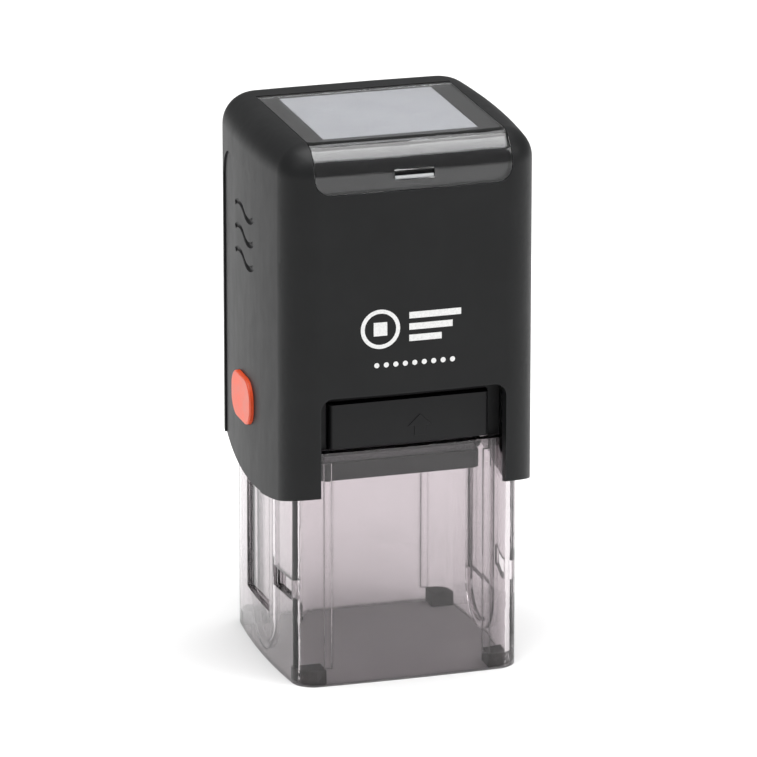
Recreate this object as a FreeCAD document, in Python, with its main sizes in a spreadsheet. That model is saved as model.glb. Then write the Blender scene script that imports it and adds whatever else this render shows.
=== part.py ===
import FreeCAD, Part
import math
import os
import re

import Sketcher

# A self-inking hand stamp, standing on its open base skirt with the outer case up.
# The origin is on the table under the middle of the skirt, +Z is up and -Y is the front.
# The case slides down over the skirt. Its yoke carries the platen, which turns over on
# the way down and brings the inked rubber from the pad to the paper.

SIZES = {
    # outer case
    "case_width": "=platen_width + 16.8",
    "case_depth": "=platen_depth + 16.0",
    "case_top": 89.0,
    "case_wall": 1.9,
    "case_corner": 6.0,
    "top_round": 5.0,
    "side_bow": 1.5,
    "front_bow": 0.6,
    "roof_thickness": 3.4,
    "front_leg_bottom": "=axle_height - 1.3",
    "rear_leg_bottom": "=axle_height + 2.1",
    "lobe_bottom": "=axle_height - 4.3",
    "lobe_forward": 3.0,
    "notch_width": "=platen_width + 4.0",
    "notch_top": "=axle_height + 14.6",
    "notch_corner": 2.0,
    # shallow side panels and finger grooves of the case
    "panel_front": 7.5,
    "panel_rear": 15.0,
    "panel_top": "=case_top - 8.0",
    "panel_bottom": 20.0,
    "panel_corner": 5.0,
    "panel_depth": 0.3,
    "groove_top": "=case_top - 15.5",
    "groove_middle": 1.8,
    "groove_pitch": 3.9,
    "groove_bend": 4.6,
    "groove_radius": 0.5,
    # base skirt
    "slide_gap": 0.4,
    "skirt_wall": 1.5,
    "skirt_front_top": "=axle_height + 4.9",
    "skirt_top": "=axle_height + 18.1",
    "rib_width": 1.2,
    "rib_height": 0.9,
    "rib_root": 0.3,
    "wall_rib_inset": 2.7,
    "rib_bottom": 1.0,
    "channel_width": 10.4,
    "cam_slot_length": 8.0,
    "cam_slot_height": 3.2,
    "cam_slot_bottom": 14.0,
    "cam_slot_offset": 0.6,
    "foot_reach": 3.2,
    "foot_side_inset": 1.2,
    "foot_end_inset": 0.6,
    "foot_height": 2.4,
    # print unit: platen, cushion and rubber
    "axle_height": "=(case_top - 21.2) / 2",
    "axle_radius": 1.0,
    "running_gap": 0.05,
    "platen_width": 26.4,
    "platen_depth": 25.8,
    "platen_corner": 1.2,
    "platen_back": 1.4,
    "platen_front": 1.5,
    "cushion_thickness": 1.0,
    "die_size": "=platen_width - 1.8",
    "sheet_thickness": 1.1,
    "relief_size": "=platen_width - 3.4",
    "relief_height": 0.7,
    "relief_border": 1.2,
    "relief_bar": 2.2,
    "relief_margin": 3.0,
    "relief_inset": 2.5,
    "relief_step": 2.0,
    # yoke
    "arm_gap": 0.4,
    "arm_thickness": 1.6,
    "arm_width": 9.0,
    "arm_end": 3.0,
    "arm_corner": 2.8,
    "bridge_thickness": 2.2,
    "bridge_depth": 18.0,
    "bridge_hole": 7.0,
    "boss_spread": 11.0,
    "peg_head": 0.6,
    "bridge_corner": 3.0,
    "stem_length": 6.0,
    "boss_length": 2.6,
    "boss_radius": 2.4,
    "peg_radius": 1.2,
    "lug_thickness": 1.3,
    "lug_gap": 0.3,
    "lug_wall": 1.2,
    "pin_end": 0.2,
    "pin_grip": 4.0,
    "lug_reach": 2.9,
    "lug_radius": 1.7,
    # ink pad and the frame that holds it
    "ink_gap": 0.65,
    "felt_width": "=platen_width - 2.0",
    "felt_depth": "=platen_depth - 0.6",
    "felt_thickness": 5.8,
    "tray_wall": 0.7,
    "tray_top": "=axle_height + 12.7",
    "tray_front_wall": 1.2,
    "tray_setback": 0.8,
    "print_standoff": 0.6,
    "tray_corner": 0.6,
    "fit_gap": 0.15,
    "seat_gap": 0.1,
    "arm_play": 0.4,
    "sink": 0.5,
    "past": 1.0,
    "deck_thickness": 2.2,
    "ledge_reach": 0.45,
    "ledge_thickness": 0.5,
    # return spring
    "spring_radius": 5.0,
    "wire_radius": 0.4,
    "spring_turns": 6.5,
    "spring_post_radius": 4.2,
    "post_wall": 1.2,
    "spring_post_height": 5.2,
    # index card and its window
    "window_thickness": 1.1,
    "window_gap": 0.1,
    "window_width": "=case_width - 11.2",
    "window_rear": "=case_depth / 2 - 8.3",
    "tab_bottom": "=case_top - 7.4",
    "tab_corner": 2.5,
    "slot_width": 6.5,
    "slot_height": 1.5,
    "slot_bottom": "=case_top - 5.8",
    "hinge_pin": 0.3,
    "pivot_reach": 0.6,
    "pivot_play": 0.3,
    "card_width": "=case_width - 18.0",
    "card_front": "=case_depth / 2 - 7.5",
    "card_rear": "=case_depth / 2 - 9.5",
    "card_thickness": 0.35,
    # lock buttons
    "button_width": 10.6,
    "button_height": 7.6,
    "button_corner": 3.2,
    "button_rear": 2.0,
    "button_middle": "=axle_height + 8.8",
    "button_proud": 0.35,
    "button_flange": 0.7,
    "flange_thickness": 0.75,
    "track_depth": 0.8,
    "track_gap": 0.6,
}

# Places worked out from the sizes above, as text that goes into the expressions.
SIDE_RADIUS = "(((case_depth / 2)^2 + side_bow^2) / (2 * side_bow))"
FRONT_RADIUS = "(((case_width / 2)^2 + front_bow^2) / (2 * front_bow))"
SKIRT_INSET = "(case_wall + slide_gap)"
WELL_INSET = "(case_wall + slide_gap + skirt_wall)"
WELL_HALF = "(case_width / 2 - case_wall - slide_gap - skirt_wall)"
FACE_HEIGHT = "(platen_front + cushion_thickness + sheet_thickness + relief_height)"
FELT_BOTTOM = "(axle_height + %s + ink_gap)" % FACE_HEIGHT
ARM_INNER = "(platen_width / 2 + arm_gap)"
ARM_OUTER = "(platen_width / 2 + arm_gap + arm_thickness)"
PRESS_STROKE = "(axle_height - %s - print_standoff)" % FACE_HEIGHT
ROOF_INNER = "(case_top - roof_thickness)"
BRIDGE_TOP = "(case_top - roof_thickness - boss_length)"
TRAY_HALF = "(felt_width / 2 + fit_gap + tray_wall)"
TRAY_FRONT = "(case_depth / 2 - case_wall - tray_setback)"
TRAY_REAR = "(felt_depth / 2 + fit_gap + tray_wall)"
LEDGE_BOTTOM = "(skirt_front_top + 0.05)"
TRAY_BOTTOM = "(skirt_front_top + 0.1 + ledge_thickness)"
DECK_BOTTOM = "(tray_top + fit_gap)"
DECK_TOP = "(tray_top + fit_gap + deck_thickness)"
WALL_INNER = "(case_width / 2 - case_wall)"

doc = FreeCAD.newDocument("stamp")
sheet = doc.addObject("Spreadsheet::Sheet", "Sizes")
for row, (alias, value) in enumerate(SIZES.items(), 1):
    cell = "B%d" % row
    sheet.set("A%d" % row, alias)
    sheet.set(cell, str(value))
    sheet.setAlias(cell, alias)
doc.recompute()


def bound(text):
    """The text with each size's name made a reference to its cell."""
    return re.sub(r"[a-z]+(?:_[a-z]+)*",
                  lambda word: "Sizes." + word.group() if word.group() in SIZES else word.group(), text)


def number(text):
    """The value that an expression text has now, in millimetres."""
    return float(sheet.evalExpression(bound(text)))


def bind(item, **properties):
    for path, text in properties.items():
        item.setExpression(path.replace("__", "."), bound(text))
    return item


def place(item, x="0", y="0", z="0"):
    return bind(item, Placement__Base__x=x, Placement__Base__y=y, Placement__Base__z=z)


def box(name, x, y, z):
    """A block between the pairs of texts x, y and z."""
    block = doc.addObject("Part::Box", name)
    bind(block, Length="%s - (%s)" % (x[1], x[0]), Width="%s - (%s)" % (y[1], y[0]),
         Height="%s - (%s)" % (z[1], z[0]))
    return place(block, x[0], y[0], z[0])


def rod(name, radius, x, y, z, length, along_x=False):
    """A round rod that starts at x, y, z and runs up, or along +X."""
    cylinder = doc.addObject("Part::Cylinder", name)
    if along_x:
        turn = FreeCAD.Rotation(FreeCAD.Vector(0, 1, 0), 90)
        cylinder.Placement = FreeCAD.Placement(FreeCAD.Vector(), turn)
    bind(cylinder, Radius=radius, Height=length)
    return place(cylinder, x, y, z)


def fuse(name, pieces):
    joined = doc.addObject("Part::MultiFuse", name)
    joined.Shapes = pieces
    joined.Refine = True
    return joined


def cut(name, base, tool):
    rest = doc.addObject("Part::Cut", name)
    rest.Base = base
    rest.Tool = tool
    rest.Refine = True
    return rest


def common(name, pieces):
    shared = doc.addObject("Part::MultiCommon", name)
    shared.Shapes = pieces
    shared.Refine = True
    return shared


def origin_plane(body, role):
    return next(plane for plane in body.Origin.OriginFeatures if plane.Role == role)


def new_sketch(body, name, role, offset="0"):
    sketch = body.newObject("Sketcher::SketchObject", name)
    sketch.AttachmentSupport = [(origin_plane(body, role), "")]
    sketch.MapMode = "FlatFace"
    bind(sketch, AttachmentOffset__Base__z=offset)
    doc.recompute()
    return sketch


def fix(sketch, kind, text, edge, point):
    """Hold one coordinate of a point (kind DistanceX or DistanceY) at the text's value."""
    value = number(text)
    if abs(value) < 1e-9:
        axis = -2 if kind == "DistanceX" else -1
        sketch.addConstraint(Sketcher.Constraint("PointOnObject", edge, point, axis))
        return
    if value > 0:
        index = sketch.addConstraint(Sketcher.Constraint(kind, -1, 1, edge, point, value))
        sketch.setExpression("Constraints[%d]" % index, bound(text))
    else:
        index = sketch.addConstraint(Sketcher.Constraint(kind, edge, point, -1, 1, -value))
        sketch.setExpression("Constraints[%d]" % index, bound("-(%s)" % text))


def rectangle(sketch, x, y):
    """A rectangle between the pairs of texts x and y, on the sketch's own axes."""
    (left, right), (low, high) = [[number(text) for text in pair] for pair in (x, y)]
    corners = [FreeCAD.Vector(left, low), FreeCAD.Vector(right, low),
               FreeCAD.Vector(right, high), FreeCAD.Vector(left, high)]
    sides = [sketch.addGeometry(Part.LineSegment(corners[k], corners[(k + 1) % 4])) for k in range(4)]
    for k in range(4):
        sketch.addConstraint(Sketcher.Constraint("Coincident", sides[k], 2, sides[(k + 1) % 4], 1))
        direction = "Horizontal" if k % 2 == 0 else "Vertical"
        sketch.addConstraint(Sketcher.Constraint(direction, sides[k]))
    fix(sketch, "DistanceX", x[0], sides[0], 1)
    fix(sketch, "DistanceY", y[0], sides[0], 1)
    fix(sketch, "DistanceX", x[1], sides[2], 1)
    fix(sketch, "DistanceY", y[1], sides[2], 1)


def fillet(body, name, base, radius, wanted):
    """Round the edges of base that the test wanted picks."""
    doc.recompute()
    names = ["Edge%d" % k for k, edge in enumerate(base.Shape.Edges, 1) if wanted(edge)]
    rounding = body.newObject("PartDesign::Fillet", name)
    rounding.Base = (base, names)
    bind(rounding, Radius=radius)
    return rounding


def spans(edge, axis):
    """True for an edge that runs straight along one axis, given as 0, 1 or 2."""
    size = (edge.BoundBox.XLength, edge.BoundBox.YLength, edge.BoundBox.ZLength)
    return all((size[k] > 1e-4) == (k == axis) for k in range(3))


def pad(body, name, sketch, length, symmetric=False):
    feature = body.newObject("PartDesign::Pad", name)
    feature.Profile = sketch
    if symmetric:
        feature.SideType = "Symmetric"
    bind(feature, Length=length)
    return feature


def rounded_slab(name, role, x, y, start, length, corner, axis):
    """A slab padded from a rectangle, with the corners of that rectangle rounded."""
    body = doc.addObject("PartDesign::Body", name)
    sketch = new_sketch(body, name + "_outline", role, start)
    rectangle(sketch, x, y)
    slab = pad(body, name + "_pad", sketch, length, symmetric=(role != "XY_Plane"))
    fillet(body, name + "_corners", slab, corner, lambda edge: spans(edge, axis))
    return body


def bowed_block(name, inset, low, high, round_top=False):
    """The plan of the case, inset evenly: four bowed sides and rounded corners."""
    body = doc.addObject("PartDesign::Body", name)
    sketch = new_sketch(body, name + "_plan", "XY_Plane", low)
    side_centre = "(case_width / 2 - %s)" % SIDE_RADIUS
    front_centre = "(case_depth / 2 - %s)" % FRONT_RADIUS
    side = number("%s - %s" % (SIDE_RADIUS, inset))
    front = number("%s - %s" % (FRONT_RADIUS, inset))
    shift_x = number(side_centre)
    shift_y = number(front_centre)
    gap = math.hypot(shift_x, shift_y)
    along = (side ** 2 - front ** 2 + gap ** 2) / (2 * gap)
    across = math.sqrt(side ** 2 - along ** 2)
    corner_x = shift_x - along * shift_x / gap - across * shift_y / gap
    corner_y = along * shift_y / gap - across * shift_x / gap
    turn_side = math.asin(corner_y / side)
    turn_front = math.asin(corner_x / front)
    quarter = math.pi / 2
    arcs = []
    for k in range(4):
        if k % 2 == 0:
            centre = FreeCAD.Vector(shift_x, 0).multiply(1 if k == 0 else -1)
            circle = Part.Circle(centre, FreeCAD.Vector(0, 0, 1), side)
            reach = turn_side
        else:
            centre = FreeCAD.Vector(0, shift_y).multiply(1 if k == 1 else -1)
            circle = Part.Circle(centre, FreeCAD.Vector(0, 0, 1), front)
            reach = turn_front
        arcs.append(sketch.addGeometry(Part.ArcOfCircle(circle, k * quarter - reach, k * quarter + reach)))
    for k, arc in enumerate(arcs):
        sketch.addConstraint(Sketcher.Constraint("Coincident", arc, 2, arcs[(k + 1) % 4], 1))
        sign = "" if k < 2 else "-"
        if k % 2 == 0:
            fix(sketch, "DistanceX", sign + side_centre, arc, 3)
            fix(sketch, "DistanceY", "0", arc, 3)
            radius = "%s - %s" % (SIDE_RADIUS, inset)
        else:
            fix(sketch, "DistanceX", "0", arc, 3)
            fix(sketch, "DistanceY", sign + front_centre, arc, 3)
            radius = "%s - %s" % (FRONT_RADIUS, inset)
        index = sketch.addConstraint(Sketcher.Constraint("Radius", arc, number(radius)))
        sketch.setExpression("Constraints[%d]" % index, bound(radius))
    block = pad(body, name + "_pad", sketch, "%s - (%s)" % (high, low))
    block = fillet(body, name + "_corners", block, "case_corner - %s" % inset, lambda edge: spans(edge, 2))
    if round_top:
        top = number(high)
        fillet(body, name + "_top", block, "top_round - %s" % inset,
               lambda edge: edge.BoundBox.ZMin > top - 1e-4)
    return body


def mirrored(name, item):
    twin = doc.addObject("Part::Mirroring", name)
    twin.Source = item
    twin.Normal = FreeCAD.Vector(1, 0, 0)
    return twin


parts = {}


def keep(item, node):
    """Name a finished sub-part: its label is the name of its file."""
    item.Label = node
    parts[node] = item
    return item


# ---------------------------------------------------------------- outer case

def window_region(name, spread):
    """The space over the roof and down the front that the window takes, widened by spread."""
    half = "(window_width / 2 + %s)" % spread
    body = doc.addObject("PartDesign::Body", name)
    sketch = new_sketch(body, name + "_front_view", "XZ_Plane", "-window_rear - %s" % spread)
    rectangle(sketch, ("-" + half, half), ("tab_bottom - %s" % spread, "case_top + 1"))
    slab = pad(body, name + "_pad", sketch, "window_rear + case_depth / 2 + 1 + %s" % spread)
    lowest = number("tab_bottom - %s" % spread)
    fillet(body, name + "_corners", slab, "tab_corner + %s" % spread,
           lambda edge: spans(edge, 1) and edge.BoundBox.ZMax < lowest + 1e-4)
    return body


def leg_cut():
    """What is taken off below the case: side lobes hang lower than the front and the back."""
    body = doc.addObject("PartDesign::Body", "leg_cut")
    sketch = new_sketch(body, "leg_profile", "YZ_Plane")
    low = number("lobe_bottom") - 5
    reach = number("case_depth / 2 + 1")
    lobe = FreeCAD.Vector(-number("lobe_forward"), number("lobe_bottom"))
    ends = [FreeCAD.Vector(-reach, number("front_leg_bottom")),
            FreeCAD.Vector(reach, number("rear_leg_bottom"))]
    corners = [FreeCAD.Vector(reach, low), FreeCAD.Vector(-reach, low)]
    arcs = []
    for end, order in zip(ends, (-1, 1)):
        run = end.x - lobe.x
        rise = end.y - lobe.y
        radius = (run ** 2 + rise ** 2) / (2 * rise)
        centre = FreeCAD.Vector(lobe.x, lobe.y + radius)
        turn = math.atan2(end.y - centre.y, end.x - centre.x) % (2 * math.pi)
        bottom = 1.5 * math.pi
        first, last = (turn, bottom) if order < 0 else (bottom, turn)
        circle = Part.Circle(centre, FreeCAD.Vector(0, 0, 1), radius)
        arcs.append(sketch.addGeometry(Part.ArcOfCircle(circle, first, last)))
    right = sketch.addGeometry(Part.LineSegment(ends[1], corners[0]))
    bottom = sketch.addGeometry(Part.LineSegment(corners[0], corners[1]))
    left = sketch.addGeometry(Part.LineSegment(corners[1], ends[0]))
    joins = ((arcs[0], 2, arcs[1], 1), (arcs[1], 2, right, 1), (right, 2, bottom, 1), (bottom, 2, left, 1),
             (left, 2, arcs[0], 1))
    for first, start, second, finish in joins:
        sketch.addConstraint(Sketcher.Constraint("Coincident", first, start, second, finish))
    for side in (left, right):
        sketch.addConstraint(Sketcher.Constraint("Vertical", side))
    sketch.addConstraint(Sketcher.Constraint("Horizontal", bottom))
    fix(sketch, "DistanceX", "-(case_depth / 2 + 1)", arcs[0], 1)
    fix(sketch, "DistanceY", "front_leg_bottom", arcs[0], 1)
    fix(sketch, "DistanceX", "-lobe_forward", arcs[1], 1)
    fix(sketch, "DistanceY", "lobe_bottom", arcs[1], 1)
    fix(sketch, "DistanceX", "case_depth / 2 + 1", arcs[1], 2)
    fix(sketch, "DistanceY", "rear_leg_bottom", arcs[1], 2)
    fix(sketch, "DistanceX", "-lobe_forward", arcs[0], 3)
    fix(sketch, "DistanceX", "-lobe_forward", arcs[1], 3)
    fix(sketch, "DistanceY", "lobe_bottom - 5", bottom, 1)
    pad(body, "leg_pad", sketch, "case_width + 10", symmetric=True)
    return body


def grip_grooves():
    """Three wavy finger grooves on each side: each is a hollow bend, then a raised one."""
    half_sweep = 35
    facing = FreeCAD.Rotation(FreeCAD.Vector(0, 1, 0), 90)
    grooves = []
    for side in (-1, 1):
        for row in range(3):
            for bend in (-1, 1):
                first_angle = -half_sweep if bend > 0 else 180 - half_sweep
                start = FreeCAD.Rotation(FreeCAD.Vector(1, 0, 0), first_angle)
                ring = doc.addObject("Part::Torus", "groove")
                ring.Placement = FreeCAD.Placement(FreeCAD.Vector(), start.multiply(facing))
                ring.Angle3 = 2 * half_sweep
                bind(ring, Radius1="groove_bend", Radius2="groove_radius")
                place(ring, "%d * (case_width / 2 - panel_depth + 0.1)" % side,
                      "groove_middle - %d * groove_bend * sin(%d)" % (bend, half_sweep),
                      "groove_top - %d * groove_pitch + %d * groove_bend * cos(%d)"
                      % (row, bend, half_sweep))
                grooves.append(ring)
    return grooves


def outer_case():
    shell = bowed_block("case_block", "0", "lobe_bottom - 1", "case_top", round_top=True)
    cavity = bowed_block("case_cavity", "case_wall", "lobe_bottom - 2", ROOF_INNER)
    hollow = cut("hollow_case", shell, cavity)
    panel_skin = bowed_block("panel_skin", "panel_depth", "lobe_bottom - 1", "case_top - panel_depth")
    panel_area = rounded_slab("panel_area", "YZ_Plane", ("-panel_front", "panel_rear"),
                              ("panel_bottom", "panel_top"), "0", "case_width + 10", "panel_corner", 0)
    panels = cut("side_panels", panel_area, panel_skin)
    notch = rounded_slab("front_notch", "XZ_Plane", ("-notch_width / 2", "notch_width / 2"),
                         ("lobe_bottom - 6", "notch_top"), "case_depth / 2", "8", "notch_corner", 1)
    window_bed = bowed_block("window_bed", "(window_thickness + window_gap)", "lobe_bottom - 1",
                             "case_top - window_thickness - window_gap", round_top=True)
    window_seat = cut("window_seat", window_region("seat_region", "window_gap"), window_bed)
    card_seat = box("card_seat", ("-card_width / 2 - seat_gap", "card_width / 2 + seat_gap"),
                    ("-card_front - seat_gap", "card_rear + seat_gap"),
                    ("case_top - window_thickness - window_gap - card_thickness - running_gap", "case_top"))
    hinge_hole = rod("hinge_hole", "hinge_pin + running_gap", "-window_width / 2 - pivot_reach - pivot_play",
                     "window_rear - window_thickness / 2", "case_top - window_thickness / 2",
                     "window_width + 2 * (pivot_reach + pivot_play)", along_x=True)
    openings = [panels, notch, window_seat, card_seat, hinge_hole, leg_cut()] + grip_grooves()
    for side in ("-", ""):
        low, high = ("%scase_width / 2" % side, "%s(%s - past)" % (side, WALL_INNER))
        ordered = (low, high) if side == "-" else (high, low)
        counterbore = ("%s(%s + flange_thickness + seat_gap)" % (side, WALL_INNER), high)
        bored = counterbore if side == "-" else counterbore[::-1]
        suffix = side.replace("-", "_left")
        openings.append(button_slab("button_hole" + suffix, ordered, "2 * running_gap", 1))
        openings.append(button_slab("flange_bore" + suffix, bored, "button_flange + seat_gap", 0))
    tools = fuse("case_openings", openings)
    body = cut("cut_case", hollow, tools)
    studs = [body]
    for side in (-1, 1):
        x = "%d * boss_spread" % side
        studs.append(rod("boss", "boss_radius", x, "0", BRIDGE_TOP, "boss_length + sink"))
        studs.append(rod("peg", "peg_radius", x, "0", BRIDGE_TOP + " - bridge_thickness - peg_head",
                         "bridge_thickness + 2 * peg_head"))
    return keep(fuse("outer_case", studs), "outer_case")


def button_slab(name, x, spread, outside):
    """The outline of a lock button, widened by spread, over the pair of texts x."""
    body = doc.addObject("PartDesign::Body", name)
    far = "+ %d" % outside
    length = "(%s) - (%s) %s" % (x[1], x[0], far)
    start = x[0] if number(x[0]) > 0 else "(%s) - %d" % (x[0], outside)
    sketch = new_sketch(body, name + "_outline", "YZ_Plane", start)
    half_width = "(button_width / 2 + %s)" % spread
    half_height = "(button_height / 2 + %s)" % spread
    rectangle(sketch, ("button_rear - %s" % half_width, "button_rear + %s" % half_width),
              ("button_middle - %s" % half_height, "button_middle + %s" % half_height))
    slab = pad(body, name + "_pad", sketch, length)
    fillet(body, name + "_corners", slab, "button_corner + %s" % spread, lambda edge: spans(edge, 0))
    return body


def lock_buttons():
    inner = "(%s + running_gap)" % WALL_INNER
    cap = button_slab("button_cap", (inner, "case_width / 2 + button_proud"), "0", 0)
    flange = button_slab("button_back", (inner, "%s + flange_thickness" % inner), "button_flange", 0)
    right = keep(fuse("lock_button_right", [cap, flange]), "lock_button_right")
    keep(mirrored("lock_button_left", right), "lock_button_left")


def index_parts():
    skin = bowed_block("window_skin", "0", "tab_bottom - 2", "case_top", round_top=True)
    under = bowed_block("window_under", "window_thickness", "tab_bottom - 4",
                        "case_top - window_thickness", round_top=True)
    sheet_shape = common("window_sheet", [skin, window_region("window_area", "0")])
    shell = cut("window_shell", sheet_shape, under)
    slot = box("pry_slot", ("-slot_width / 2", "slot_width / 2"), ("-case_depth", "-case_depth / 4"),
               ("slot_bottom", "slot_bottom + slot_height"))
    slotted = cut("window_slotted", shell, slot)
    doc.recompute()
    rear = number("window_rear")
    ends = [k for k, edge in enumerate(slotted.Shape.Edges, 1)
            if spans(edge, 0) and edge.BoundBox.YMin > rear - 1e-4]
    rounded = doc.addObject("Part::Fillet", "window_rounded")
    rounded.Base = slotted
    radius = number("window_thickness / 2 - running_gap")
    rounded.Edges = [(k, radius, radius) for k in ends]
    pivot = rod("window_pivot", "hinge_pin", "-window_width / 2 - pivot_reach",
                "window_rear - window_thickness / 2", "case_top - window_thickness / 2",
                "window_width + 2 * pivot_reach", along_x=True)
    keep(fuse("index_window", [rounded, pivot]), "index_window")
    floor = "(case_top - window_thickness - window_gap)"
    keep(box("index_card", ("-card_width / 2", "card_width / 2"), ("-card_front", "card_rear"),
             (floor + " - card_thickness", floor)), "index_card")


# ---------------------------------------------------------------- base

def base_skirt():
    outer = bowed_block("skirt_outer", SKIRT_INSET, "0", "skirt_top")
    well = bowed_block("skirt_well", WELL_INSET, "0 - 1", "skirt_top + 1")
    tube = cut("skirt_tube", outer, well)
    front_gap = box("front_gap", ("-notch_width / 2", "notch_width / 2"), ("-case_depth", "-case_depth / 4"),
                    ("skirt_front_top", "skirt_top + 1"))
    openings = [front_gap]
    skirt_side = "(case_width / 2 - %s)" % SKIRT_INSET
    slot_rear = "(channel_width / 2 + rib_width + cam_slot_offset)"
    for side in (-1, 1):
        edges = ["%d * (%s - track_depth)" % (side, WELL_HALF), "%d * (case_width / 2)" % side]
        openings.append(box("cam_slot", edges[::side],
                            ("-%s - cam_slot_length" % slot_rear, "-%s" % slot_rear),
                            ("cam_slot_bottom", "cam_slot_bottom + cam_slot_height")))
    track_rear = "button_rear + button_width / 2 + button_flange + track_gap"
    track_front = "button_rear - button_width / 2 - button_flange - track_gap"
    track_low = "button_middle - button_height / 2 - button_flange - track_gap - %s" % PRESS_STROKE
    for side in (-1, 1):
        edges = ["%d * (%s - track_depth)" % (side, skirt_side), "%d * (case_width / 2)" % side]
        openings.append(box("button_track", edges[::side], (track_front, track_rear),
                            (track_low, "skirt_top + 1")))
    shell = cut("skirt_shell", tube, fuse("skirt_openings", openings))
    ribs = [shell]
    well_front = "(case_depth / 2 - %s)" % WELL_INSET
    end_radius = "(channel_width / 2 + rib_width)"
    for side in (-1, 1):
        x = ["%d * (%s - rib_height)" % (side, WELL_HALF), "%d * (%s + rib_root)" % (side, WELL_HALF)]
        x = x[::side]
        low, high = (x[0], "rib_height + rib_root")
        centre = "rib_bottom + " + end_radius
        ring = cut("channel_ring", rod("channel_outer", end_radius, low, "0", centre, high, along_x=True),
                   rod("channel_inner", "channel_width / 2", low, "0", centre, high, along_x=True))
        lower = box("channel_lower", x, ("-" + end_radius, end_radius), ("0", centre))
        ribs.append(common("channel_end", [ring, lower]))
        for end in (-1, 1):
            y = ["%d * channel_width / 2" % end, "%d * (channel_width / 2 + rib_width)" % end]
            ribs.append(box("channel_rib", x, y[::end], (centre, "skirt_front_top")))
            inset = ["%d * (notch_width / 2 - wall_rib_inset)" % side,
                     "%d * (notch_width / 2 - wall_rib_inset + rib_width)" % side]
            reach = ["%d * (%s - rib_height)" % (end, well_front),
                     "%d * (%s + rib_root)" % (end, well_front)]
            ribs.append(box("wall_rib", inset[::side], reach[::end],
                            ("foot_height + fit_gap", "skirt_front_top - 2")))
    keep(fuse("base_skirt", ribs), "base_skirt")


def base_feet():
    core = bowed_block("foot_core", WELL_INSET, "0", "foot_height")
    half_x = "(case_width / 2 - %s)" % WELL_INSET
    half_y = "(case_depth / 2 - %s)" % WELL_INSET
    for end, end_name in ((-1, "front"), (1, "rear")):
        for side, side_name in ((-1, "left"), (1, "right")):
            x = ["%d * (%s - foot_side_inset - foot_reach)" % (side, half_x), "%d * %s" % (side, half_x)]
            y = ["%d * (%s - foot_end_inset - foot_reach)" % (end, half_y), "%d * %s" % (end, half_y)]
            name = "foot_%s_%s" % (end_name, side_name)
            corner = box(name + "_block", x[::side], y[::end], ("0", "foot_height"))
            keep(common(name, [core, corner]), name)


def pad_frame():
    core = bowed_block("frame_core", "(%s + running_gap)" % WELL_INSET, LEDGE_BOTTOM, DECK_TOP)
    bay = box("tray_bay", ("-%s - fit_gap" % TRAY_HALF, "%s + fit_gap" % TRAY_HALF),
              ("-case_depth", "case_depth"), ("0", DECK_BOTTOM))
    openings = [bay]
    for side in (-1, 1):
        x = ["%d * (%s - lug_gap)" % (side, ARM_INNER), "%d * (case_width / 2)" % side]
        openings.append(box("arm_way", x[::side], ("-arm_width / 2 - arm_play", "arm_width / 2 + arm_play"),
                            ("0", DECK_TOP + " + past")))
    shell = cut("frame_shell", core, fuse("frame_openings", openings))
    pieces = [shell]
    for side in (-1, 1):
        for end in (-1, 1):
            x = ["%d * (%s + fit_gap - ledge_reach)" % (side, TRAY_HALF),
                 "%d * (%s + past)" % (side, TRAY_HALF)]
            y = ["%d * (arm_width / 2 + arm_play)" % end, "%d * (felt_depth / 2)" % end]
            pieces.append(box("tray_ledge", x[::side], y[::end],
                              (LEDGE_BOTTOM, LEDGE_BOTTOM + " + ledge_thickness")))
    post = rod("spring_post", "spring_post_radius", "0", "0", DECK_TOP + " - sink",
               "spring_post_height + sink")
    bore = rod("post_bore", "spring_post_radius - post_wall", "0", "0", DECK_TOP + " - sink",
               "spring_post_height + 2 * sink")
    pieces.append(cut("spring_tube", post, bore))
    keep(fuse("pad_frame", pieces), "pad_frame")


# ---------------------------------------------------------------- ink pad

def ink_pad():
    block = rounded_slab("tray_block", "XY_Plane", ("-%s" % TRAY_HALF, TRAY_HALF),
                         ("-%s" % TRAY_FRONT, TRAY_REAR), TRAY_BOTTOM, "tray_top - %s" % TRAY_BOTTOM,
                         "tray_corner", 2)
    hollow = box("tray_hollow", ("-felt_width / 2 - seat_gap", "felt_width / 2 + seat_gap"),
                 ("-felt_depth / 2 - seat_gap", "felt_depth / 2 + seat_gap"),
                 ("0", FELT_BOTTOM + " + felt_thickness"))
    pocket = box("front_pocket", ("-%s + tray_wall" % TRAY_HALF, "%s - tray_wall" % TRAY_HALF),
                 ("-%s + tray_front_wall" % TRAY_FRONT, "-felt_depth / 2 - fit_gap - tray_wall"),
                 ("0", "tray_top - tray_front_wall"))
    keep(cut("ink_pad_tray", block, fuse("tray_openings", [hollow, pocket])), "ink_pad_tray")
    keep(box("ink_pad_felt", ("-felt_width / 2", "felt_width / 2"), ("-felt_depth / 2", "felt_depth / 2"),
             (FELT_BOTTOM, FELT_BOTTOM + " + felt_thickness")), "ink_pad_felt")


# ---------------------------------------------------------------- print unit

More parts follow.
